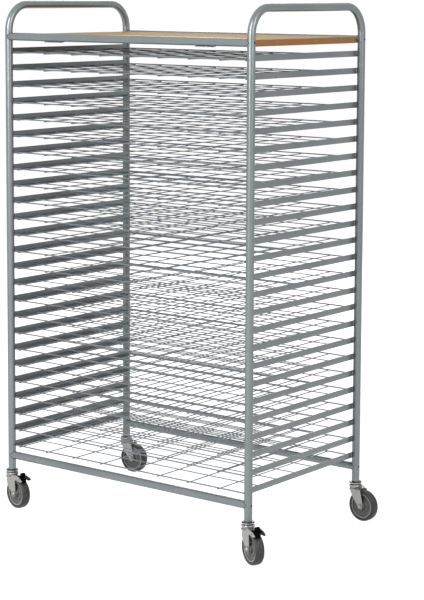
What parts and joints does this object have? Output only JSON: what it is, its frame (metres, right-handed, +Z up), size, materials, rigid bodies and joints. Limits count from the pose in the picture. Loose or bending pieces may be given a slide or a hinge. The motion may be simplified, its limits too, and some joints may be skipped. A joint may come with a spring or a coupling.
{
  "type": "art drying rack",
  "caption": "Mobile art drying rack: two bent-tube end frames with angle runners, slide-in wire shelves, a wooden top between round rails and swivel casters with front brakes.",
  "frame": {"origin": "on the floor, under the middle of the footprint with the casters trailing as stored", "axes": "+Z up; X along the shelves' long side; -Y is the open front where shelves slide out"},
  "size_m": [1.089, 0.6662, 1.6685],
  "materials": {
    "silver_coat": "satin silver-grey powder coat",
    "shelf_wire": "satin grey coated wire",
    "wood": "clear satin lacquer on pale wood",
    "zinc": "bright zinc plate",
    "hub_plastic": "satin grey moulding",
    "tyre_rubber": "matte grey rubber",
    "pedal_plastic": "black moulding"
  },
  "bodies": {
    "frame": {"end_frame_left": "silver_coat", "end_frame_right": "silver_coat", "top_rail_front": "silver_coat", "top_rail_rear": "silver_coat", "bottom_rail_front": "silver_coat", "bottom_rail_rear": "silver_coat", "top_panel": "wood", "panel_tab_left_front": "silver_coat", "panel_tab_right_front": "silver_coat", "panel_tab_left_rear": "silver_coat", "panel_tab_right_rear": "silver_coat", "caster_stem_left_front": "zinc", "caster_stem_right_front": "zinc", "caster_stem_left_rear": "zinc", "caster_stem_right_rear": "zinc"},
    "shelf_01": {"wire_shelf_01": "shelf_wire"},
    "shelf_02": {"wire_shelf_02": "shelf_wire"},
    "shelf_03": {"wire_shelf_03": "shelf_wire"},
    "shelf_04": {"wire_shelf_04": "shelf_wire"},
    "shelf_05": {"wire_shelf_05": "shelf_wire"},
    "shelf_06": {"wire_shelf_06": "shelf_wire"},
    "shelf_07": {"wire_shelf_07": "shelf_wire"},
    "shelf_08": {"wire_shelf_08": "shelf_wire"},
    "shelf_09": {"wire_shelf_09": "shelf_wire"},
    "shelf_10": {"wire_shelf_10": "shelf_wire"},
    "shelf_11": {"wire_shelf_11": "shelf_wire"},
    "shelf_12": {"wire_shelf_12": "shelf_wire"},
    "shelf_13": {"wire_shelf_13": "shelf_wire"},
    "shelf_14": {"wire_shelf_14": "shelf_wire"},
    "shelf_15": {"wire_shelf_15": "shelf_wire"},
    "shelf_16": {"wire_shelf_16": "shelf_wire"},
    "shelf_17": {"wire_shelf_17": "shelf_wire"},
    "shelf_18": {"wire_shelf_18": "shelf_wire"},
    "shelf_19": {"wire_shelf_19": "shelf_wire"},
    "shelf_20": {"wire_shelf_20": "shelf_wire"},
    "shelf_21": {"wire_shelf_21": "shelf_wire"},
    "shelf_22": {"wire_shelf_22": "shelf_wire"},
    "shelf_23": {"wire_shelf_23": "shelf_wire"},
    "shelf_24": {"wire_shelf_24": "shelf_wire"},
    "shelf_25": {"wire_shelf_25": "shelf_wire"},
    "swivel_left_front": {"caster_fork_left_front": "zinc", "caster_axle_left_front": "zinc"},
    "wheel_left_front": {"wheel_core_left_front": "hub_plastic", "tyre_left_front": "tyre_rubber"},
    "pedal_left_front": {"brake_pedal_left_front": "pedal_plastic"},
    "swivel_right_front": {"caster_fork_right_front": "zinc", "caster_axle_right_front": "zinc"},
    "wheel_right_front": {"wheel_core_right_front": "hub_plastic", "tyre_right_front": "tyre_rubber"},
    "pedal_right_front": {"brake_pedal_right_front": "pedal_plastic"},
    "swivel_left_rear": {"caster_fork_left_rear": "zinc", "caster_axle_left_rear": "zinc"},
    "wheel_left_rear": {"wheel_core_left_rear": "hub_plastic", "tyre_left_rear": "tyre_rubber"},
    "swivel_right_rear": {"caster_fork_right_rear": "zinc", "caster_axle_right_rear": "zinc"},
    "wheel_right_rear": {"wheel_core_right_rear": "hub_plastic", "tyre_right_rear": "tyre_rubber"}
  },
  "joints": [
    {"name": "shelf_01_slide", "type": "slide", "parent": "frame", "child": "shelf_01", "axis": [0, -1, 0], "range_m": [0, 0.6]},
    {"name": "shelf_02_slide", "type": "slide", "parent": "frame", "child": "shelf_02", "axis": [0, -1, 0], "range_m": [0, 0.6]},
    {"name": "shelf_03_slide", "type": "slide", "parent": "frame", "child": "shelf_03", "axis": [0, -1, 0], "range_m": [0, 0.6]},
    {"name": "shelf_04_slide", "type": "slide", "parent": "frame", "child": "shelf_04", "axis": [0, -1, 0], "range_m": [0, 0.6]},
    {"name": "shelf_05_slide", "type": "slide", "parent": "frame", "child": "shelf_05", "axis": [0, -1, 0], "range_m": [0, 0.6]},
    {"name": "shelf_06_slide", "type": "slide", "parent": "frame", "child": "shelf_06", "axis": [0, -1, 0], "range_m": [0, 0.6]},
    {"name": "shelf_07_slide", "type": "slide", "parent": "frame", "child": "shelf_07", "axis": [0, -1, 0], "range_m": [0, 0.6]},
    {"name": "shelf_08_slide", "type": "slide", "parent": "frame", "child": "shelf_08", "axis": [0, -1, 0], "range_m": [0, 0.6]},
    {"name": "shelf_09_slide", "type": "slide", "parent": "frame", "child": "shelf_09", "axis": [0, -1, 0], "range_m": [0, 0.6]},
    {"name": "shelf_10_slide", "type": "slide", "parent": "frame", "child": "shelf_10", "axis": [0, -1, 0], "range_m": [0, 0.6]},
    {"name": "shelf_11_slide", "type": "slide", "parent": "frame", "child": "shelf_11", "axis": [0, -1, 0], "range_m": [0, 0.6]},
    {"name": "shelf_12_slide", "type": "slide", "parent": "frame", "child": "shelf_12", "axis": [0, -1, 0], "range_m": [0, 0.6]},
    {"name": "shelf_13_slide", "type": "slide", "parent": "frame", "child": "shelf_13", "axis": [0, -1, 0], "range_m": [0, 0.6]},
    {"name": "shelf_14_slide", "type": "slide", "parent": "frame", "child": "shelf_14", "axis": [0, -1, 0], "range_m": [0, 0.6]},
    {"name": "shelf_15_slide", "type": "slide", "parent": "frame", "child": "shelf_15", "axis": [0, -1, 0], "range_m": [0, 0.6]},
    {"name": "shelf_16_slide", "type": "slide", "parent": "frame", "child": "shelf_16", "axis": [0, -1, 0], "range_m": [0, 0.6]},
    {"name": "shelf_17_slide", "type": "slide", "parent": "frame", "child": "shelf_17", "axis": [0, -1, 0], "range_m": [0, 0.6]},
    {"name": "shelf_18_slide", "type": "slide", "parent": "frame", "child": "shelf_18", "axis": [0, -1, 0], "range_m": [0, 0.6]},
    {"name": "shelf_19_slide", "type": "slide", "parent": "frame", "child": "shelf_19", "axis": [0, -1, 0], "range_m": [0, 0.6]},
    {"name": "shelf_20_slide", "type": "slide", "parent": "frame", "child": "shelf_20", "axis": [0, -1, 0], "range_m": [0, 0.6]},
    {"name": "shelf_21_slide", "type": "slide", "parent": "frame", "child": "shelf_21", "axis": [0, -1, 0], "range_m": [0, 0.6]},
    {"name": "shelf_22_slide", "type": "slide", "parent": "frame", "child": "shelf_22", "axis": [0, -1, 0], "range_m": [0, 0.6]},
    {"name": "shelf_23_slide", "type": "slide", "parent": "frame", "child": "shelf_23", "axis": [0, -1, 0], "range_m": [0, 0.6]},
    {"name": "shelf_24_slide", "type": "slide", "parent": "frame", "child": "shelf_24", "axis": [0, -1, 0], "range_m": [0, 0.6]},
    {"name": "shelf_25_slide", "type": "slide", "parent": "frame", "child": "shelf_25", "axis": [0, -1, 0], "range_m": [0, 0.6]},
    {"name": "swivel_left_front_turn", "type": "hinge", "parent": "frame", "child": "swivel_left_front", "pos_m": [-0.52415, -0.27812, 0.11], "axis": [0, 0, 1], "continuous": true},
    {"name": "wheel_left_front_spin", "type": "hinge", "parent": "swivel_left_front", "child": "wheel_left_front", "pos_m": [-0.49126, -0.28451, 0.05], "axis": [0.1908, 0.9816, 0], "continuous": true},
    {"name": "pedal_left_front_press", "type": "hinge", "parent": "swivel_left_front", "child": "pedal_left_front", "pos_m": [-0.46525, -0.28957, 0.102], "axis": [0.1908, 0.9816, 0], "range_deg": [0, 12]},
    {"name": "swivel_right_front_turn", "type": "hinge", "parent": "frame", "child": "swivel_right_front", "pos_m": [0.45085, -0.27812, 0.11], "axis": [0, 0, 1], "continuous": true},
    {"name": "wheel_right_front_spin", "type": "hinge", "parent": "swivel_right_front", "child": "wheel_right_front", "pos_m": [0.48096, -0.29281, 0.05], "axis": [0.4384, 0.8988, 0], "continuous": true},
    {"name": "pedal_right_front_press", "type": "hinge", "parent": "swivel_right_front", "child": "pedal_right_front", "pos_m": [0.50478, -0.30442, 0.102], "axis": [0.4384, 0.8988, 0], "range_deg": [0, 12]},
    {"name": "swivel_left_rear_turn", "type": "hinge", "parent": "frame", "child": "swivel_left_rear", "pos_m": [-0.52415, 0.30588, 0.11], "axis": [0, 0, 1], "continuous": true},
    {"name": "wheel_left_rear_spin", "type": "hinge", "parent": "swivel_left_rear", "child": "wheel_left_rear", "pos_m": [-0.49078, 0.3088, 0.05], "axis": [-0.0872, 0.9962, 0], "continuous": true},
    {"name": "swivel_right_rear_turn", "type": "hinge", "parent": "frame", "child": "swivel_right_rear", "pos_m": [0.45085, 0.30588, 0.11], "axis": [0, 0, 1], "continuous": true},
    {"name": "wheel_right_rear_spin", "type": "hinge", "parent": "swivel_right_rear", "child": "wheel_right_rear", "pos_m": [0.48427, 0.30354, 0.05], "axis": [0.0698, 0.9976, 0], "continuous": true}
  ]
}
